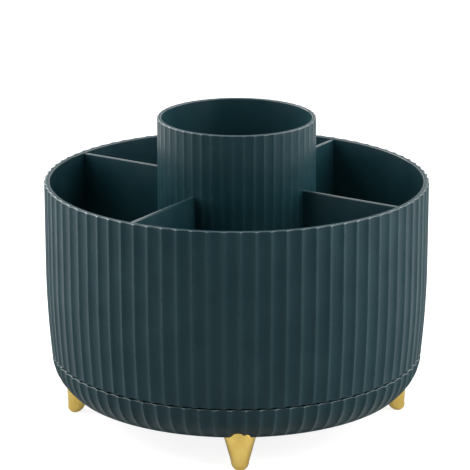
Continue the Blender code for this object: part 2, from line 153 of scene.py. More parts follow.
# Feet
FOOT_NAMES = ("front", "right", "back", "left")
FOOT_TIP_RADIUS = 3.7 * MM
FOOT_PAD_RADIUS = 1.6 * MM
FOOT_SPLAY = math.radians(14.0)
FOOT_SUNK = 2.5 * MM
FOOT_CIRCLE = -(foot_screw_high.y + foot_screw_low.y) / 2

# Camera, at the photograph's viewing angle
FRAME_PIXELS = 470
CAMERA_FOCAL_PIXELS = 2691.0
SENSOR_WIDTH = 36.0
CAMERA_DISTANCE = 14.0 * DRUM_RADIUS
CAMERA_TURN = math.radians(-1.2)
CAMERA_ELEVATION = math.radians(15.41)
AIM_BELOW_RIM = 24.9 * MM
AIM_TO_LEFT = 0.65 * MM

# Light: what the floor and the room give to the camera, to mirrors and to the surfaces
FLOOR_SIZE = 8.0
FLOOR_GREY = 0.4
FLOOR_SEEN = 0.85
FLOOR_MIRRORED = 0.3
ROOM_LIGHT = 0.02
ROOM_MIRRORED = 0.9

# Colours, each from its deeper to its paler tone
GREEN_DEEP, GREEN_PALE = (0.005, 0.026, 0.033), (0.055, 0.12, 0.13)
GOLD_DEEP, GOLD_PALE = (0.64, 0.445, 0.11), (0.71, 0.52, 0.15)
STEEL_DEEP, STEEL_PALE = (0.50, 0.51, 0.53), (0.66, 0.66, 0.66)
WHITE_DEEP, WHITE_PALE = (0.66, 0.65, 0.60), (0.74, 0.74, 0.71)

# The green is paler along ridges as a painted highlight, smoother along ridges and edges, and shiny along
# edges. Noise mottles it
EDGE_SHINE = 0.8
EDGE_SHINE_ROUGHNESS = 0.15
# How much paler green is painted along the ridges as a highlight
RIDGE_PAINTED_HIGHLIGHT = 0.1
EDGE_SMOOTHER = 0.12
RIDGE_SMOOTHER = 0.05
GREEN_SPECULAR = 0.15
NOISE_LOW, NOISE_HIGH = 0.3, 0.7

# Fineness and tolerances of the meshes
ROUND_STEPS = 5
HIDDEN_ROUND_STEPS = 2
PLAIN_STEPS = 64
TUCK_STEPS = 8
INSIDE_STEPS = 6
BASE_STEPS = 16
GROOVE_STEPS = 8
FOOT_TIP_STEPS = 8
PARTITION_ROUND_STEPS = 4
BALL_STEPS = 16
SMALL_COLUMNS = 32
CAGE_COLUMNS = 162
POCKET_STEPS = 48
ROWS_IN_A_PITCH = 6
SHARP_TURN = math.radians(40.0)
MERGE_DISTANCE = 0.002 * MM
SAME_PLACE = 0.01 * MM
LONGEST_ROUND_SHARE = 0.49


def place(tree, kind, feeds=None, **settings):
    """Adds a node with its settings, and links a socket or sets a value on each input that is named."""
    node = tree.nodes.new(kind)
    for name, value in settings.items():
        setattr(node, name, value)
    for name, feed in (feeds or {}).items():
        if isinstance(feed, bpy.types.NodeSocket):
            tree.links.new(feed, node.inputs[name])
        else:
            node.inputs[name].default_value = feed
    return node


def reckon(tree, operation, *feeds):
    """The result of a Math node on sockets and numbers."""
    return place(tree, "ShaderNodeMath", dict(enumerate(feeds)), operation=operation).outputs[0]


def new_tree(name, kind, inputs, outputs):
    """A node tree with named sockets, and its input and output nodes."""
    tree = bpy.data.node_groups.new(name, kind)
    for label, socket_type in inputs:
        tree.interface.new_socket(label, in_out="INPUT", socket_type=socket_type)
    for label, socket_type in outputs:
        tree.interface.new_socket(label, in_out="OUTPUT", socket_type=socket_type)
    return tree, place(tree, "NodeGroupInput"), place(tree, "NodeGroupOutput")


def turning_grid(tree, profile, columns):
    """A grid with a row for each point of a profile and one column more than asked, to be wound round Z.

    Gives the grid, and the column and row of each of its points."""
    counts = place(tree, "GeometryNodeAttributeDomainSize", {0: profile}, component="MESH")
    rows = counts.outputs["Point Count"]
    feeds = {"Vertices X": reckon(tree, "ADD", columns, 1.0), "Vertices Y": rows}
    grid = place(tree, "GeometryNodeMeshGrid", feeds).outputs["Mesh"]
    index = place(tree, "GeometryNodeInputIndex").outputs[0]
    column = reckon(tree, "FLOOR", reckon(tree, "DIVIDE", index, rows))
    return grid, column, reckon(tree, "SUBTRACT", index, reckon(tree, "MULTIPLY", column, rows))


def of_row(tree, profile, row, value, data_type):
    """A value of the profile's point that makes this row."""
    feeds = {"Geometry": profile, "Value": value, "Index": row}
    return place(tree, "GeometryNodeSampleIndex", feeds, data_type=data_type).outputs[0]


def share_of_row(tree, profile, row, name):
    """A share that is stored by name on the profile's point that makes this row."""
    kept = place(tree, "GeometryNodeInputNamedAttribute", {"Name": name}, data_type="FLOAT").outputs[0]
    return of_row(tree, profile, row, kept, "FLOAT")


def section_of_row(tree, profile, row):
    """The radius and the height of this row."""
    spot = place(tree, "GeometryNodeInputPosition").outputs[0]
    parts = place(tree, "ShaderNodeSeparateXYZ", {0: of_row(tree, profile, row, spot, "FLOAT_VECTOR")})
    return parts.outputs["X"], parts.outputs["Z"]


def wind(tree, grid, radius, angle, height):
    """Moves the grid's points to their angle round Z, and closes the seam and the poles."""
    feeds = {
        "X": reckon(tree, "MULTIPLY", radius, reckon(tree, "COSINE", angle)),
        "Y": reckon(tree, "MULTIPLY", radius, reckon(tree, "SINE", angle)),
        "Z": height,
    }
    spot = place(tree, "ShaderNodeCombineXYZ", feeds).outputs[0]
    wound = place(tree, "GeometryNodeSetPosition", {"Geometry": grid, "Position": spot}).outputs[0]
    feeds = {"Geometry": wound, "Distance": MERGE_DISTANCE}
    return place(tree, "GeometryNodeMergeByDistance", feeds).outputs[0]


def end_tree(tree, mesh, material, result):
    """Realizes the instances and sets the material, as the last nodes of a tree."""
    real = place(tree, "GeometryNodeRealizeInstances", {"Geometry": mesh}).outputs[0]
    dressed = place(tree, "GeometryNodeSetMaterial", {"Geometry": real, "Material": material}).outputs[0]
    tree.links.new(dressed, result.inputs["Geometry"])


def fluted_turning_tree():
    """Turns a profile about Z, and presses concave flutes into the rows that have a share of them."""
    tree, given, result = new_tree(
        "fluted_turning",
        "GeometryNodeTree",
        [
            ("Profile", "NodeSocketGeometry"),
            ("Flutes", "NodeSocketInt"),
            ("Steps", "NodeSocketInt"),
            ("Depth", "NodeSocketFloat"),
            ("Turn", "NodeSocketFloat"),
            ("Ridge Round", "NodeSocketFloat"),
            ("Flatness", "NodeSocketFloat"),
            ("Material", "NodeSocketMaterial"),
        ],
        [("Geometry", "NodeSocketGeometry")],
    )
    profile = given.outputs["Profile"]
    columns = reckon(tree, "MULTIPLY", given.outputs["Flutes"], given.outputs["Steps"])
    grid, column, row = turning_grid(tree, profile, columns)

    # Points crowd towards the ridges, where the surface turns most
    flute = reckon(tree, "DIVIDE", column, given.outputs["Steps"])
    whole = reckon(tree, "FLOOR", flute)
    even = reckon(tree, "MULTIPLY_ADD", reckon(tree, "SUBTRACT", flute, whole), math.pi, -math.pi / 2)
    across = reckon(tree, "SINE", even)
    along = reckon(tree, "ADD", whole, reckon(tree, "MULTIPLY_ADD", across, 0.5, 0.5))
    share_of_turn = reckon(tree, "DIVIDE", along, given.outputs["Flutes"])
    angle = reckon(tree, "MULTIPLY_ADD", share_of_turn, math.tau, given.outputs["Turn"])

    # A flute is shallow and flattest in its middle, and the ridge between two of them is slightly round
    round_share = given.outputs["Ridge Round"]
    round_square = reckon(tree, "MULTIPLY", round_share, round_share)
    from_ridge = reckon(tree, "SUBTRACT", 1.0, reckon(tree, "ABSOLUTE", across))
    soft_root = reckon(tree, "SQRT", reckon(tree, "MULTIPLY_ADD", from_ridge, from_ridge, round_square))
    full_root = reckon(tree, "SQRT", reckon(tree, "ADD", 1.0, round_square))
    soft = reckon(tree, "SUBTRACT", soft_root, round_share)
    full = reckon(tree, "SUBTRACT", full_root, round_share)
    rise = reckon(tree, "DIVIDE", soft, full)
    rest = reckon(tree, "MAXIMUM", reckon(tree, "SUBTRACT", 1.0, rise), 0.0)
    scoop = reckon(tree, "SUBTRACT", 1.0, reckon(tree, "POWER", rest, given.outputs["Flatness"]))

    share = share_of_row(tree, profile, row, "pressed_share")
    edge = share_of_row(tree, profile, row, "edge_share")
    radius, height = section_of_row(tree, profile, row)
    cut = reckon(tree, "MULTIPLY", reckon(tree, "MULTIPLY", given.outputs["Depth"], share), scoop)
    # Ridge share: where the green gets a painted highlight as a paler tone, and less roughness
    ridge = reckon(tree, "MULTIPLY", share, reckon(tree, "SUBTRACT", 1.0, scoop))
    for name, value in (("ridge", ridge), ("edge", edge)):
        feeds = {"Geometry": grid, "Name": name, "Value": value}
        store = place(tree, "GeometryNodeStoreNamedAttribute", feeds, data_type="FLOAT", domain="POINT")
        grid = store.outputs[0]
    closed = wind(tree, grid, reckon(tree, "SUBTRACT", radius, cut), angle, height)
    smooth = place(tree, "GeometryNodeSetShadeSmooth", {"Geometry": closed}).outputs[0]
    end_tree(tree, smooth, given.outputs["Material"], result)
    return tree


def crisp(tree, mesh):
    """Smooth shading, apart from the edges that turn by more than SHARP_TURN."""
    smooth = place(tree, "GeometryNodeSetShadeSmooth", {"Geometry": mesh}).outputs[0]
    turn = place(tree, "GeometryNodeInputMeshEdgeAngle").outputs["Unsigned Angle"]
    sharp = reckon(tree, "GREATER_THAN", turn, SHARP_TURN)
    feeds = {"Geometry": smooth, "Selection": sharp, "Shade Smooth": False}
    return place(tree, "GeometryNodeSetShadeSmooth", feeds, domain="EDGE").outputs[0]


def round_the_axis(tree, mesh, given):
    """Instances of a mesh evenly round the given circle about Z, the first of them at the front."""
    count, circle = given.outputs["Count"], given.outputs["Circle"]
    index = place(tree, "GeometryNodeInputIndex").outputs[0]
    angle = reckon(tree, "DIVIDE", reckon(tree, "MULTIPLY", index, math.tau), count)
    back = reckon(tree, "MULTIPLY", circle, -1.0)
    feeds = {
        "X": reckon(tree, "MULTIPLY", circle, reckon(tree, "SINE", angle)),
        "Y": reckon(tree, "MULTIPLY", back, reckon(tree, "COSINE", angle)),
        "Z": given.outputs["Height"],
    }
    spot = place(tree, "ShaderNodeCombineXYZ", feeds).outputs[0]
    points = place(tree, "GeometryNodePoints", {"Count": count, "Position": spot}).outputs[0]
    return place(tree, "GeometryNodeInstanceOnPoints", {"Points": points, "Instance": mesh}).outputs[0]


RING_SOCKETS = [
    ("Profile", "NodeSocketGeometry"),
    ("Columns", "NodeSocketInt"),
    ("Count", "NodeSocketInt"),
    ("Circle", "NodeSocketFloat"),
    ("Height", "NodeSocketFloat"),
    ("Material", "NodeSocketMaterial"),
]


def small_turnings_tree():
    """Small turned pieces evenly round a circle.

    A share of thread is cut into their rows, and a cross recess of the given size into the lower end."""
    tree, given, result = new_tree(
        "small_turnings",
        "GeometryNodeTree",
        [
            *RING_SOCKETS,
            ("Thread Pitch", "NodeSocketFloat"),
            ("Thread Depth", "NodeSocketFloat"),
            ("Recess", "NodeSocketFloat"),
            ("Recess End", "NodeSocketFloat"),
            ("Upright", "NodeSocketFloat"),
        ],
        [("Geometry", "NodeSocketGeometry")],
    )
    profile = given.outputs["Profile"]
    grid, column, row = turning_grid(tree, profile, given.outputs["Columns"])
    radius, height = section_of_row(tree, profile, row)
    turn = reckon(tree, "DIVIDE", column, given.outputs["Columns"])
    climb = reckon(tree, "SUBTRACT", reckon(tree, "DIVIDE", height, given.outputs["Thread Pitch"]), turn)
    groove = reckon(tree, "PINGPONG", reckon(tree, "MULTIPLY", climb, 2.0), 1.0)
    share = share_of_row(tree, profile, row, "pressed_share")
    depth = reckon(tree, "MULTIPLY", share, given.outputs["Thread Depth"])
    cut = reckon(tree, "SUBTRACT", radius, reckon(tree, "MULTIPLY", groove, depth))
    blank = wind(tree, grid, cut, reckon(tree, "MULTIPLY", turn, math.tau), height)

    # Two crossed bars cut the recess
    recess = given.outputs["Recess"]
    cross = place(tree, "GeometryNodeMeshBoolean", {"Mesh 1": blank}, operation="DIFFERENCE", solver="EXACT")
    narrow = reckon(tree, "MULTIPLY", recess, RECESS_BAR_SHARE)
    shift = place(tree, "ShaderNodeCombineXYZ", {"Z": given.outputs["Recess End"]}).outputs[0]
    for sides in ({"X": recess, "Y": narrow}, {"X": narrow, "Y": recess}):
        size = place(tree, "ShaderNodeCombineXYZ", {**sides, "Z": recess}).outputs[0]
        bar = place(tree, "GeometryNodeMeshCube", {"Size": size}).outputs["Mesh"]
        moved = place(tree, "GeometryNodeTransform", {"Geometry": bar, "Translation": shift}).outputs[0]
        tree.links.new(moved, cross.inputs["Mesh 2"])
    wanted = reckon(tree, "GREATER_THAN", recess, 0.0)
    feeds = {"Switch": wanted, "False": blank, "True": cross.outputs["Mesh"]}
    piece = place(tree, "GeometryNodeSwitch", feeds, input_type="GEOMETRY").outputs[0]
    upright = given.outputs["Upright"]
    flip = place(tree, "ShaderNodeCombineXYZ", {"X": 1.0, "Y": upright, "Z": upright}).outputs[0]
    stood = place(tree, "GeometryNodeTransform", {"Geometry": crisp(tree, piece), "Scale": flip}).outputs[0]
    ring = round_the_axis(tree, stood, given)
    end_tree(tree, ring, given.outputs["Material"], result)
    return tree


def pocket_ring_tree():
    """A turned ring with round pockets through it."""
    tree, given, result = new_tree(
        "pocket_ring",
        "GeometryNodeTree",
        [*RING_SOCKETS, ("Pocket", "NodeSocketFloat")],
        [("Geometry", "NodeSocketGeometry")],
    )
    profile = given.outputs["Profile"]
    grid, column, row = turning_grid(tree, profile, given.outputs["Columns"])
    radius, height = section_of_row(tree, profile, row)
    turn = reckon(tree, "DIVIDE", column, given.outputs["Columns"])
    blank = wind(tree, grid, radius, reckon(tree, "MULTIPLY", turn, math.tau), height)
    pocket = given.outputs["Pocket"]
    through = reckon(tree, "MULTIPLY", pocket, 2.0)
    feeds = {"Vertices": POCKET_STEPS, "Radius": pocket, "Depth": through}
    drill = place(tree, "GeometryNodeMeshCylinder", feeds).outputs["Mesh"]
    drills = round_the_axis(tree, drill, given)
    real = place(tree, "GeometryNodeRealizeInstances", {"Geometry": drills}).outputs[0]
    bored = place(tree, "GeometryNodeMeshBoolean", {"Mesh 1": blank}, operation="DIFFERENCE", solver="EXACT")
    tree.links.new(real, bored.inputs["Mesh 2"])
    end_tree(tree, crisp(tree, bored.outputs["Mesh"]), given.outputs["Material"], result)
    return tree


def grown(name, seed_mesh, tree, values):
    """A plain mesh object that a tree makes from a seed mesh and the values of its named inputs."""
    seed = bpy.data.objects.new(name, seed_mesh)
    bpy.context.scene.collection.objects.link(seed)
    modifier = seed.modifiers.new(tree.name, "NODES")
    modifier.node_group = tree
    for item in tree.interface.items_tree:
        if item.in_out == "INPUT" and item.name in values:
            modifier[item.identifier] = values[item.name]
    evaluated = seed.evaluated_get(bpy.context.evaluated_depsgraph_get())
    mesh = bpy.data.meshes.new_from_object(evaluated)
    seed.modifiers.remove(modifier)
    seed.data = mesh
    seed.data.name = name
    bpy.data.meshes.remove(seed_mesh)
    face_outwards(mesh)
    return seed


def face_outwards(mesh):
    """Turns all faces of a closed mesh outwards."""
    shape = bmesh.new()
    shape.from_mesh(mesh)
    bmesh.ops.recalc_face_normals(shape, faces=shape.faces)
    shape.to_mesh(mesh)
    shape.free()


def corner_arc(before, corner, after):
    """The points of a rounded corner between two straight stretches of a profile.

    Each point has the corner's share of the flutes, and a share of edge where the rounding is small."""
    radius, height, rounding, share = corner
    if not rounding:
        return [(radius, height, share, 0.0)]
    edge = 1.0 if rounding <= RIM_ROUND else 0.0
    here = Vector((radius, height))
    to_before = Vector(before[:2]) - here
    to_after = Vector(after[:2]) - here
    half = to_before.angle(to_after) / 2
    steps = ROUND_STEPS if rounding > EDGE_ROUND else HIDDEN_ROUND_STEPS
    longest = LONGEST_ROUND_SHARE
    reach = min(rounding / math.tan(half), to_before.length * longest, to_after.length * longest)
    rounding = reach * math.tan(half)
    middle = here + (to_before.normalized() + to_after.normalized()).normalized() * rounding / math.sin(half)
    start = here + to_before.normalized() * reach - middle
    end = here + to_after.normalized() * reach - middle
    points = []
    for step in range(steps + 1):
        part = step / steps
        spoke = (start * (1 - part) + end * part).normalized() * rounding
        points.append((middle.x + spoke.x, middle.y + spoke.y, share, edge * math.sin(math.pi * part)))
    return points


def profile_mesh(corners, closed=False):
    """A row of points from (radius, height, rounding, share) corners, with the shares of each point."""
    points = []
    for step, corner in enumerate(corners):
        inside = closed or 0 < step < len(corners) - 1
        if inside:
            points += corner_arc(corners[step - 1], corner, corners[(step + 1) % len(corners)])
        else:
            points.append((corner[0], corner[1], corner[3], 0.0))
    if closed:
        points.append(points[0])
    mesh = bpy.data.meshes.new("profile")
    mesh.from_pydata([(point[0], 0.0, point[1]) for point in points], [], [])
    keep_values(mesh, "pressed_share", [point[2] for point in points])
    keep_values(mesh, "edge_share", [point[3] for point in points])
    return mesh


def keep_values(mesh, name, values):
    """Stores one number for each point of a mesh."""
    mesh.attributes.new(name, "FLOAT", "POINT").data.foreach_set("value", values)


def plain(*points, rounding=0.0):
    """Corners without flutes, all rounded alike."""
    return [(radius, height, rounding, 0.0) for radius, height in points]


def drum_ridge(height):
    """The drum's radius over its ridges, tucked in towards the seam."""
    low = max(0.0, 1.0 - (height - DRUM_BOTTOM) / DRUM_TUCK_HEIGHT)
    return DRUM_RADIUS - DRUM_TUCK * low * low


def base_ridge(height):
    """The base's radius over its ridges, which carries the drum's line on and curls in underneath."""
    low = (BASE_TOP - height) / BASE_HEIGHT
    slope = 2.0 * DRUM_TUCK / DRUM_TUCK_HEIGHT * BASE_HEIGHT
    curl = (BASE_TUCK + BASE_PROUD - slope) * low**BASE_CURL
    return drum_ridge(DRUM_BOTTOM) + BASE_PROUD - slope * low - curl


def between(low, high, steps):
    """Heights between two others, without the ends."""
    return [low + (high - low) * step / steps for step in range(1, steps)]


def track(opens):
    """The rib round the ball groove, from the axis outwards: it opens upwards (1) or downwards (-1)."""
    groove = BALL_RADIUS + CLEARANCE
    lip = BALL_HEIGHT - opens * TRACK_BITE
    half = math.sqrt(groove**2 - TRACK_BITE**2)
    foot = PLATE_TOP if opens > 0 else DRUM_BOTTOM
    inner, outer = BALL_CIRCLE - half - TRACK_LIP, BALL_CIRCLE + half + TRACK_LIP
    rows = plain((inner, foot), (inner, lip), rounding=EDGE_ROUND)
    sweep = math.asin(half / groove)
    for step in range(GROOVE_STEPS + 1):
        angle = sweep * (2 * step / GROOVE_STEPS - 1.0)
        height = BALL_HEIGHT - opens * groove * math.cos(angle)
        rows += plain((BALL_CIRCLE + groove * math.sin(angle), height))
    return rows + plain((outer, lip), (outer, foot), rounding=EDGE_ROUND)


def drum_corners():
    """The drum's section: post, underside, fluted side, rim, inside wall and floor."""
    hole_top = POST_END + PIVOT_HOLE_DEPTH
    corners = plain((0.0, hole_top), (PIVOT_HOLE, hole_top), (PIVOT_HOLE, POST_END))
    corners += plain((POST_RADIUS, POST_END), (POST_RADIUS, DRUM_BOTTOM), rounding=EDGE_ROUND)
    corners += track(-1)
    corners.append((drum_ridge(DRUM_BOTTOM), DRUM_BOTTOM, SEAM_ROUND, 1.0))
    tuck_top = DRUM_BOTTOM + DRUM_TUCK_HEIGHT
    heights = between(DRUM_BOTTOM, tuck_top, TUCK_STEPS)
    corners += [(drum_ridge(height), height, 0.0, 1.0) for height in heights]
    corners.append((DRUM_RADIUS, tuck_top, 0.0, 1.0))
    corners.append((DRUM_RADIUS, RIM, RIM_ROUND, 1.0))
    corners.append((DRUM_RADIUS - DRUM_WALL, RIM, RIM_ROUND, 0.0))
    corners += plain((DRUM_RADIUS - DRUM_WALL, tuck_top))
    heights = between(tuck_top, FLOOR_TOP, INSIDE_STEPS)
    corners += plain(*[(drum_ridge(height) - DRUM_WALL, height) for height in heights])
    corners += plain((drum_ridge(FLOOR_TOP) - DRUM_WALL, FLOOR_TOP), rounding=FLOOR_ROUND)
    ring = CUP_BORE - CLEARANCE
    ring_top = FLOOR_TOP + LOCATING_RING_HEIGHT
    inner = ring - LOCATING_RING_WIDTH
    corners += plain((ring, FLOOR_TOP), (ring, ring_top), rounding=EDGE_ROUND)
    corners += plain((inner, ring_top), (inner, FLOOR_TOP), rounding=EDGE_ROUND)
    return corners + plain((0.0, FLOOR_TOP))


def base_corners():
    """The base's section, a closed loop: pivot sleeve, underside, fluted side and the inside of the dish."""
    web = POST_END
    sleeve_top = DRUM_BOTTOM - 2 * CLEARANCE
    sleeve = SLEEVE_BORE + SLEEVE_WALL
    shoulder = PIVOT_RECESS + SLEEVE_WEB
    corners = plain((SLEEVE_BORE, sleeve_top), (SLEEVE_BORE, web), rounding=EDGE_ROUND)
    corners += plain((PIVOT_RECESS, web), (PIVOT_RECESS, BASE_BOTTOM), rounding=EDGE_ROUND)
    corners.append((base_ridge(BASE_BOTTOM) - BASE_EDGE_BAND, BASE_BOTTOM, 0.0, 0.0))
    corners.append((base_ridge(BASE_BOTTOM), BASE_BOTTOM, BASE_EDGE_ROUND, 0.0))
    for height in between(BASE_BOTTOM, BASE_TOP, BASE_STEPS):
        share = min(1.0, (height - BASE_BOTTOM) / BASE_FLUTE_FADE)
        corners.append((base_ridge(height), height, 0.0, share))
    corners.append((base_ridge(BASE_TOP), BASE_TOP, SEAM_ROUND, 1.0))
    corners.append((base_ridge(BASE_TOP) - BASE_WALL, BASE_TOP, EDGE_ROUND, 0.0))
    heights = between(BASE_TOP, PLATE_TOP, INSIDE_STEPS)
    corners += plain(*[(base_ridge(height) - BASE_WALL, height) for height in heights])
    corners += plain((base_ridge(PLATE_TOP) - BASE_WALL, PLATE_TOP), rounding=FLOOR_ROUND)
    corners += reversed(track(1))
    corners += plain((shoulder, PLATE_TOP), (shoulder, web + SLEEVE_WEB), rounding=EDGE_ROUND)
    corners += plain((sleeve, web + SLEEVE_WEB), (sleeve, sleeve_top), rounding=EDGE_ROUND)
    return corners


def cup_corners():
    """The cup's section: an open tube with a raised floor."""
    floor_under = CUP_BOTTOM + CUP_FLOOR_RAISE
    floor_top = floor_under + CUP_FLOOR
    corners = plain((0.0, floor_under))
    corners += plain((CUP_BORE, floor_under), (CUP_BORE, CUP_BOTTOM), rounding=EDGE_ROUND)
    corners.append((CUP_RADIUS, CUP_BOTTOM, EDGE_ROUND, 1.0))
    corners.append((CUP_RADIUS, CUP_TOP, RIM_ROUND, 1.0))
    corners.append((CUP_BORE, CUP_TOP, RIM_ROUND, 0.0))
    corners += plain((CUP_BORE, floor_top), rounding=FLOOR_ROUND)
    return corners + plain((0.0, floor_top))


def fluted_piece(name, corners, flutes, depth, turn, material, closed=False):
    """A round piece with flutes, one ridge of which is turned this far from the front."""
    values = {
        "Flutes": flutes,
        "Steps": FLUTE_STEPS,
        "Depth": depth,
        "Turn": turn - math.pi / 2,
        "Ridge Round": RIDGE_ROUND,
        "Flatness": FLUTE_FLATNESS,
        "Material": material,
    }
    return grown(name, profile_mesh(corners, closed), fluted_turning, values)


def turned_piece(name, corners, material, closed=False):
    """A round piece without flutes, from the same tree."""
    values = {
        "Flutes": PLAIN_STEPS // 2,
        "Steps": 2,
        "Depth": 0.0,
        "Turn": 0.0,
        "Ridge Round": 1.0,
        "Flatness": 2.0,
        "Material": material,
    }
    return grown(name, profile_mesh(corners, closed), fluted_turning, values)


def partition_piece(name, turn, material):
    """One partition between the cup and the drum's wall, with rounded edges along its top."""
    outline = [(PARTITION_INNER, PARTITION_TOP), (PARTITION_INNER, CUP_BOTTOM)]
    outline.append((drum_ridge(CUP_BOTTOM) + PARTITION_REACH, CUP_BOTTOM))
    tuck_top = DRUM_BOTTOM + DRUM_TUCK_HEIGHT
    for height in between(CUP_BOTTOM, tuck_top, INSIDE_STEPS):
        outline.append((drum_ridge(height) + PARTITION_REACH, height))
    outline.append((DRUM_RADIUS + PARTITION_REACH, tuck_top))
    outline.append((DRUM_RADIUS + PARTITION_REACH, PARTITION_TOP))
    shape = bmesh.new()
    side = [shape.verts.new((radius, -PARTITION_THICKNESS / 2, height)) for radius, height in outline]
    grown_side = bmesh.ops.extrude_face_region(shape, geom=[shape.faces.new(side)])
    moved = [part for part in grown_side["geom"] if isinstance(part, bmesh.types.BMVert)]
    bmesh.ops.translate(shape, verts=moved, vec=(0.0, PARTITION_THICKNESS, 0.0))
    bmesh.ops.recalc_face_normals(shape, faces=shape.faces)
    top = [
        edge
        for edge in shape.edges
        if sum(abs(vert.co.z - PARTITION_TOP) for vert in edge.verts) < SAME_PLACE
        and abs(edge.verts[0].co.y - edge.verts[1].co.y) < SAME_PLACE
    ]
    bmesh.ops.bevel(
        shape, geom=top, offset=PARTITION_ROUND, segments=PARTITION_ROUND_STEPS, affect="EDGES", profile=0.5
    )
    bmesh.ops.rotate(shape, verts=shape.verts, matrix=Matrix.Rotation(turn - math.pi / 2, 3, "Z"))
    mesh = bpy.data.meshes.new(name)
    shape.to_mesh(mesh)
    shape.free()
    mesh.shade_smooth()
    mesh.set_sharp_from_angle(angle=SHARP_TURN)
    edge_low = PARTITION_TOP - PARTITION_ROUND / 2
    keep_values(mesh, "edge", [float(vert.co.z > edge_low) for vert in mesh.vertices])
    mesh.materials.append(material)
    piece = bpy.data.objects.new(name, mesh)
    bpy.context.scene.collection.objects.link(piece)
    return piece


def foot_piece(name, turn, material):
    """A tapered foot with a round tip, which leans outwards."""
    top = BASE_BOTTOM + FOOT_SUNK
    sweep = math.acos(FOOT_PAD_RADIUS / FOOT_TIP_RADIUS)
    rise = FOOT_TIP_RADIUS * math.sin(sweep)
    flare = (FOOT_TOP_RADIUS - FOOT_TIP_RADIUS) / (BASE_BOTTOM - rise)
    corners = plain((0.0, top)) + plain((FOOT_TOP_RADIUS + flare * FOOT_SUNK, top), rounding=EDGE_ROUND)
    for step in range(FOOT_TIP_STEPS + 1):
        angle = sweep * step / FOOT_TIP_STEPS
        corners += plain((FOOT_TIP_RADIUS * math.cos(angle), rise - FOOT_TIP_RADIUS * math.sin(angle)))
    corners += plain((0.0, 0.0))
    piece = turned_piece(name, corners, material)
    lean = Matrix.Identity(4)
    lean[0][2] = -math.tan(FOOT_SPLAY)
    lean[0][3] = FOOT_CIRCLE + BASE_BOTTOM * math.tan(FOOT_SPLAY)
    piece.data.transform(Matrix.Rotation(turn - math.pi / 2, 4, "Z") @ lean)
    return piece


def small_turnings(
    name, corners, material, count=1, circle=0.0, height=0.0, recess=0.0, end=0.0, upright=1.0, closed=False
):
    """One turned piece, or several round a circle, from the tree of small turnings."""
    values = {
        "Columns": SMALL_COLUMNS,
        "Count": count,
        "Circle": circle,
        "Height": height,
        "Thread Pitch": SCREW_PITCH,
        "Thread Depth": THREAD_DEPTH,
        "Recess": recess,
        "Recess End": end,
        "Upright": upright,
        "Material": material,
    }
    return grown(name, profile_mesh(corners, closed), small_turnings_ring, values)


def screw_set(name, first, count, shank, seat, upright, material):
    """Pan-head screws round a circle, of the size and at the place of the first of them in the frame."""
    low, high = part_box(first)
    head = (high.x - low.x) / 2
    above, below = high.z - seat, seat - low.z
    length, crown = (above, below) if upright > 0 else (below, above)
    corners = plain((0.0, -crown))
    corners += plain((head * PAN_FLAT_SHARE, -crown), (head, -crown / 2), rounding=PAN_HEAD_ROUND)
    corners += plain((head, 0.0), (shank, 0.0), rounding=PAN_SEAT_ROUND)
    thread_end = length - shank
    for row in between(shank / 2, thread_end, round(thread_end / SCREW_PITCH * ROWS_IN_A_PITCH)):
        corners.append((shank, row, 0.0, 1.0))
    corners += plain((shank, thread_end), (0.0, length))
    circle = -(high.y + low.y) / 2
    cross = {"recess": crown, "end": -crown}
    return small_turnings(name, corners, material, count, circle, seat, upright=upright, **cross)


def boss_set(name, first, count, radius, low, high, material):
    """Round bosses with a screw hole, in line with the screws."""
    screw_low, screw_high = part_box(first)
    circle = -(screw_high.y + screw_low.y) / 2
    corners = plain((BOSS_HOLE, low), (radius, low), (radius, high), (BOSS_HOLE, high), rounding=EDGE_ROUND)
    return small_turnings(name, corners, material, count, circle, closed=True)


def ball_set(name, material):
    """The balls of the ring."""
    corners = plain((0.0, -BALL_RADIUS))
    for height_turn in between(-math.pi / 2, math.pi / 2, BALL_STEPS):
        corners += plain((BALL_RADIUS * math.cos(height_turn), BALL_RADIUS * math.sin(height_turn)))
    corners += plain((0.0, BALL_RADIUS))
    return small_turnings(name, corners, material, BALL_COUNT, BALL_CIRCLE, BALL_HEIGHT)


def cage_piece(name, material):
    """The ring that keeps the balls apart, with a pocket for each."""
    inner = 2 * BALL_CIRCLE - CAGE_RADIUS
    low, high = cage_low.z, cage_high.z
    corners = plain((inner, low), (CAGE_RADIUS, low), (CAGE_RADIUS, high), (inner, high), rounding=EDGE_ROUND)
    values = {
        "Columns": CAGE_COLUMNS,
        "Count": BALL_COUNT,
        "Circle": BALL_CIRCLE,
        "Height": BALL_HEIGHT,
        "Pocket": BALL_RADIUS + CLEARANCE,
        "Material": material,
    }
    return grown(name, profile_mesh(corners, closed=True), pocket_ring, values)


def washer_piece(name, material):
    """The washer that keeps the post in its sleeve."""
    hole, low, high = PIVOT_SHANK + CLEARANCE, washer_low.z, washer_high.z
    outline = [(hole, low), (WASHER_RADIUS, low), (WASHER_RADIUS, high), (hole, high)]
    corners = plain(*outline, rounding=WASHER_ROUND)
    return small_turnings(name, corners, material, closed=True)


def ride_as(piece, body, slot, *nodes):
    """Puts a finished piece on its body in place of its CAD nodes."""
    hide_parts(*nodes)
    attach(piece, body)


def mottle_group():
    """Soft uneven patches: a value that wanders between Low and High over a surface."""
    tree, given, result = new_tree(
        "mottle",
        "ShaderNodeTree",
        [("Size", "NodeSocketFloat"), ("Low", "NodeSocketFloat"), ("High", "NodeSocketFloat")],
        [("Value", "NodeSocketFloat")],
    )
    where = place(tree, "ShaderNodeTexCoord").outputs["Object"]
    scale = reckon(tree, "DIVIDE", 1.0, given.outputs["Size"])
    noise = place(tree, "ShaderNodeTexNoise", {"Vector": where, "Scale": scale, "Detail": 4.0}).outputs[0]
    feeds = {0: noise, 1: NOISE_LOW, 2: NOISE_HIGH, 3: given.outputs["Low"], 4: given.outputs["High"]}
    value = place(tree, "ShaderNodeMapRange", feeds).outputs[0]
    tree.links.new(value, result.inputs["Value"])
    return tree


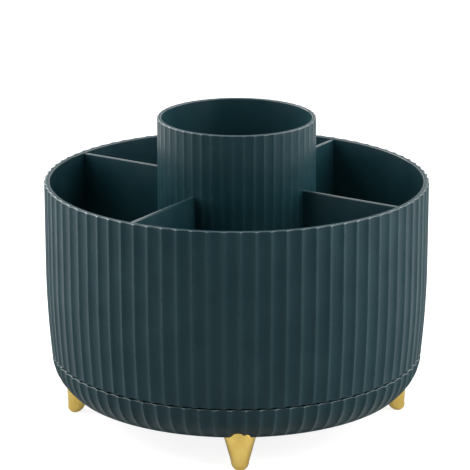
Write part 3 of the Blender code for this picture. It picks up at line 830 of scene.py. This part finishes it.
def grain_group():
    """The fine spark-eroded grain of a mould, as a height."""
    tree, given, result = new_tree(
        "moulded_grain", "ShaderNodeTree", [("Size", "NodeSocketFloat")], [("Height", "NodeSocketFloat")]
    )
    where = place(tree, "ShaderNodeTexCoord").outputs["Object"]
    scale = reckon(tree, "DIVIDE", 1.0, given.outputs["Size"])
    noise = place(tree, "ShaderNodeTexNoise", {"Vector": where, "Scale": scale, "Detail": 2.0}).outputs[0]
    tree.links.new(noise, result.inputs["Height"])
    return tree


def new_material(name):
    """A material with its node tree and its shader."""
    material = bpy.data.materials.new(name)
    material.use_nodes = True
    tree = material.node_tree
    return material, tree, tree.nodes["Principled BSDF"]


def grain_bump(tree, shader, size, strength, distance):
    """Gives a shader the mould's grain as a bump."""
    node = tree.nodes.new("ShaderNodeGroup")
    node.node_tree = grain
    node.inputs["Size"].default_value = size
    feeds = {"Strength": strength, "Distance": distance, "Height": node.outputs["Height"]}
    tree.links.new(place(tree, "ShaderNodeBump", feeds).outputs[0], shader.inputs["Normal"])


def group_value(tree, size, low, high):
    """A value that wanders between low and high in patches of about this size."""
    node = tree.nodes.new("ShaderNodeGroup")
    node.node_tree = mottle
    node.inputs["Size"].default_value = size
    node.inputs["Low"].default_value = low
    node.inputs["High"].default_value = high
    return node.outputs["Value"]


def colour_between(tree, factor, first, second):
    """A colour that goes from the first to the second with the factor."""
    mix = tree.nodes.new("ShaderNodeMix")
    mix.data_type = "RGBA"
    tree.links.new(factor, mix.inputs[0])
    mix.inputs[6].default_value = (*first, 1.0)
    mix.inputs[7].default_value = (*second, 1.0)
    return mix.outputs[2]


def satin_green():
    """Very dark blue-green moulded plastic, with a paler painted highlight along its ridges, smoother along
    its ridges and shiny along its edges.
    """
    material, tree, shader = new_material("satin_green_plastic")
    ridge = place(tree, "ShaderNodeAttribute", attribute_name="ridge").outputs["Fac"]
    edge = place(tree, "ShaderNodeAttribute", attribute_name="edge").outputs["Fac"]
    wander = group_value(tree, size=14 * MM, low=0.0, high=0.1)
    # Paler green along ridges is a painted highlight; the wander on top of it is random tone
    pale = reckon(tree, "MULTIPLY_ADD", ridge, RIDGE_PAINTED_HIGHLIGHT, wander)
    colour = colour_between(tree, pale, GREEN_DEEP, GREEN_PALE)
    tree.links.new(colour, shader.inputs["Base Color"])
    satin = group_value(tree, size=9 * MM, low=0.30, high=0.38)
    edge_satin = reckon(tree, "MULTIPLY_ADD", edge, -EDGE_SMOOTHER, satin)
    roughness = reckon(tree, "MULTIPLY_ADD", ridge, -RIDGE_SMOOTHER, edge_satin)
    tree.links.new(roughness, shader.inputs["Roughness"])
    shader.inputs["Specular IOR Level"].default_value = GREEN_SPECULAR
    tree.links.new(reckon(tree, "MULTIPLY", edge, EDGE_SHINE), shader.inputs["Coat Weight"])
    shader.inputs["Coat Roughness"].default_value = EDGE_SHINE_ROUGHNESS
    grain_bump(tree, shader, size=0.35 * MM, strength=0.12, distance=0.02 * MM)
    return material


def satin_gold():
    """Satin gold plating."""
    material, tree, shader = new_material("satin_gold_plate")
    tone = group_value(tree, size=5 * MM, low=0.0, high=1.0)
    colour = colour_between(tree, tone, GOLD_DEEP, GOLD_PALE)
    tree.links.new(colour, shader.inputs["Base Color"])
    roughness = group_value(tree, size=3 * MM, low=0.18, high=0.26)
    tree.links.new(roughness, shader.inputs["Roughness"])
    shader.inputs["Metallic"].default_value = 1.0
    grain_bump(tree, shader, size=0.5 * MM, strength=0.03, distance=0.01 * MM)
    return material


def zinc_steel():
    """Bright zinc-plated steel."""
    material, tree, shader = new_material("zinc_plated_steel")
    tone = group_value(tree, size=2 * MM, low=0.0, high=1.0)
    colour = colour_between(tree, tone, STEEL_DEEP, STEEL_PALE)
    tree.links.new(colour, shader.inputs["Base Color"])
    roughness = group_value(tree, size=1.5 * MM, low=0.22, high=0.38)
    tree.links.new(roughness, shader.inputs["Roughness"])
    shader.inputs["Metallic"].default_value = 1.0
    grain_bump(tree, shader, size=0.15 * MM, strength=0.1, distance=0.005 * MM)
    return material


def cage_white():
    """Natural white moulded plastic."""
    material, tree, shader = new_material("natural_white_plastic")
    tone = group_value(tree, size=6 * MM, low=0.0, high=1.0)
    colour = colour_between(tree, tone, WHITE_DEEP, WHITE_PALE)
    tree.links.new(colour, shader.inputs["Base Color"])
    roughness = group_value(tree, size=4 * MM, low=0.45, high=0.58)
    tree.links.new(roughness, shader.inputs["Roughness"])
    grain_bump(tree, shader, size=0.3 * MM, strength=0.1, distance=0.01 * MM)
    return material


def soft_light(name, turn, elevation, distance, width, height, power):
    """A soft box that faces the caddy, in metres, degrees and watts, turned from the front towards +X."""
    lamp = bpy.data.lights.new(name, "AREA")
    lamp.shape = "RECTANGLE"
    lamp.size = width
    lamp.size_y = height
    lamp.energy = power
    light = bpy.data.objects.new(name, lamp)
    bpy.context.scene.collection.objects.link(light)
    target = Vector((0.0, 0.0, RIM / 2))
    turn, elevation = math.radians(turn), math.radians(elevation)
    flat = math.cos(elevation)
    away = Vector((math.sin(turn) * flat, -math.cos(turn) * flat, math.sin(elevation)))
    light.location = target + away * distance
    light.rotation_euler = (-away).to_track_quat("-Z", "Y").to_euler()


def mirrored_share(tree, path):
    """1 for a ray that a mirror or a glass sends on."""
    return reckon(tree, "MAXIMUM", path.outputs["Is Glossy Ray"], path.outputs["Is Transmission Ray"])


def build_stage():
    """A pale floor that the camera sees as white apart from the caddy's soft shadow."""
    bpy.ops.mesh.primitive_plane_add(size=FLOOR_SIZE)
    floor = bpy.context.object
    floor.name = "floor"
    material, tree, shader = new_material("pale_floor")
    shader.inputs["Base Color"].default_value = (FLOOR_GREY, FLOOR_GREY, FLOOR_GREY, 1.0)
    shader.inputs["Roughness"].default_value = 0.9
    shader.inputs["Specular IOR Level"].default_value = 0.1
    shader.inputs["Emission Strength"].default_value = 1.0
    path = place(tree, "ShaderNodeLightPath")
    seen = reckon(tree, "MULTIPLY", path.outputs["Is Camera Ray"], FLOOR_SEEN)
    share = mirrored_share(tree, path)
    glow = reckon(tree, "MULTIPLY_ADD", share, FLOOR_MIRRORED, seen)
    tree.links.new(glow, shader.inputs["Emission Color"])
    floor.data.materials.append(material)

    side = {"elevation": 28.0, "distance": 0.65, "width": 1.1, "height": 0.7}
    soft_light("left_softbox", turn=-101.0, power=10.0, **side)
    soft_light("right_softbox", turn=84.0, power=9.4, **side)
    soft_light("top_softbox", turn=0.0, elevation=88.0, distance=1.2, width=1.6, height=1.6, power=11.0)

    world = bpy.data.worlds.new("studio")
    bpy.context.scene.world = world
    world.use_nodes = True
    tree = world.node_tree
    background = tree.nodes["Background"]
    path = place(tree, "ShaderNodeLightPath")
    share = mirrored_share(tree, path)
    level = reckon(tree, "MULTIPLY_ADD", share, ROOM_MIRRORED - ROOM_LIGHT, ROOM_LIGHT)
    tree.links.new(level, background.inputs["Strength"])
    background.inputs["Color"].default_value = (1.0, 1.0, 1.0, 1.0)


def build_camera():
    """The camera at the photograph's viewing angle."""
    lens = bpy.data.cameras.new("photo_view")
    lens.sensor_width = SENSOR_WIDTH
    lens.lens = CAMERA_FOCAL_PIXELS / FRAME_PIXELS * lens.sensor_width
    camera = bpy.data.objects.new("photo_view", lens)
    bpy.context.scene.collection.objects.link(camera)
    flat = math.cos(CAMERA_ELEVATION)
    side, front = math.sin(CAMERA_TURN) * flat, -math.cos(CAMERA_TURN) * flat
    away = Vector((side, front, math.sin(CAMERA_ELEVATION)))
    camera.location = Vector((0.0, 0.0, RIM)) + away * CAMERA_DISTANCE
    aim = Vector((-AIM_TO_LEFT, 0.0, RIM - AIM_BELOW_RIM))
    camera.rotation_euler = (aim - camera.location).to_track_quat("-Z", "Y").to_euler()
    bpy.context.scene.camera = camera


def numbered(name, count):
    """The names of numbered nodes."""
    return [f"{name}_{step + 1}" for step in range(count)]


def build_caddy():
    """The drum, the cup, the partitions, the base and the feet."""
    drum = fluted_piece("fluted_drum", drum_corners(), FLUTE_COUNT, DRUM_FLUTE_DEPTH, DRUM_FLUTE_TURN, green)
    ride_as(drum, "carousel", "green_plastic", "drum")
    cup = fluted_piece("fluted_cup", cup_corners(), CUP_FLUTE_COUNT, CUP_FLUTE_DEPTH, PARTITION_ANGLE, green)
    ride_as(cup, "carousel", "green_plastic", "centre_cup")
    for step in range(PARTITION_COUNT):
        turn = PARTITION_ANGLE + math.tau * step / PARTITION_COUNT
        partition = partition_piece(f"radial_partition_{step + 1}", turn, green)
        ride_as(partition, "carousel", "green_plastic", f"partition_{step + 1}")
    base = fluted_piece(
        "fluted_base", base_corners(), FLUTE_COUNT, BASE_FLUTE_DEPTH, BASE_FLUTE_TURN, green, closed=True
    )
    ride_as(base, "stand", "green_plastic", "base")
    for step, side in enumerate(FOOT_NAMES):
        foot = foot_piece(f"gold_foot_{side}", math.tau * step / len(FOOT_NAMES), gold)
        ride_as(foot, "stand", "gold_feet", f"foot_{side}")


def build_inner_pieces():
    """The ball ring, the pivot, the screws and the bosses they bite into."""
    ride_as(ball_set("bearing_balls", steel), "ball_ring", "zinc_steel", *numbered("ball", BALL_COUNT))
    ride_as(cage_piece("pocketed_cage", white), "ball_ring", "cage_plastic", "ball_cage")
    ride_as(washer_piece("retaining_washer", steel), "carousel", "zinc_steel", "pivot_washer")
    pivot_seat = washer_low.z - CLEARANCE
    pivot = screw_set("pivot_pan_screw", "pivot_screw", 1, PIVOT_SHANK, pivot_seat, 1.0, steel)
    ride_as(pivot, "carousel", "zinc_steel", "pivot_screw")

    cup_seat = DRUM_BOTTOM - CLEARANCE
    count = CUP_SCREW_COUNT
    cup_screws = screw_set("cup_pan_screws", "cup_screw_1", count, SCREW_SHANK, cup_seat, 1.0, steel)
    ride_as(cup_screws, "carousel", "zinc_steel", *numbered("cup_screw", count))
    boss_top = CUP_BOTTOM + CUP_FLOOR_RAISE + CUP_FLOOR / 2
    bosses = boss_set("cup_bosses", "cup_screw_1", count, CUP_BOSS_RADIUS, CUP_BOTTOM, boss_top, green)
    ride_as(bosses, "carousel", "green_plastic", "centre_cup")

    boss_top = PLATE_TOP + FOOT_BOSS_HEIGHT
    feet = len(FOOT_NAMES)
    foot_seat = boss_top + CLEARANCE
    foot_screws = screw_set("foot_pan_screws", "foot_screw_front", feet, SCREW_SHANK, foot_seat, -1.0, steel)
    ride_as(foot_screws, "stand", "zinc_steel", *[f"foot_screw_{side}" for side in FOOT_NAMES])
    boss_low = PLATE_TOP - BASE_PLATE / 2
    bosses = boss_set("foot_bosses", "foot_screw_front", feet, FOOT_BOSS_RADIUS, boss_low, boss_top, green)
    ride_as(bosses, "stand", "green_plastic", "base")


fluted_turning = fluted_turning_tree()
small_turnings_ring = small_turnings_tree()
pocket_ring = pocket_ring_tree()
mottle = mottle_group()
grain = grain_group()
green = satin_green()
gold = satin_gold()
steel = zinc_steel()
white = cage_white()
build_caddy()
build_inner_pieces()
build_stage()
build_camera()
bpy.context.scene.view_settings.view_transform = "Standard"
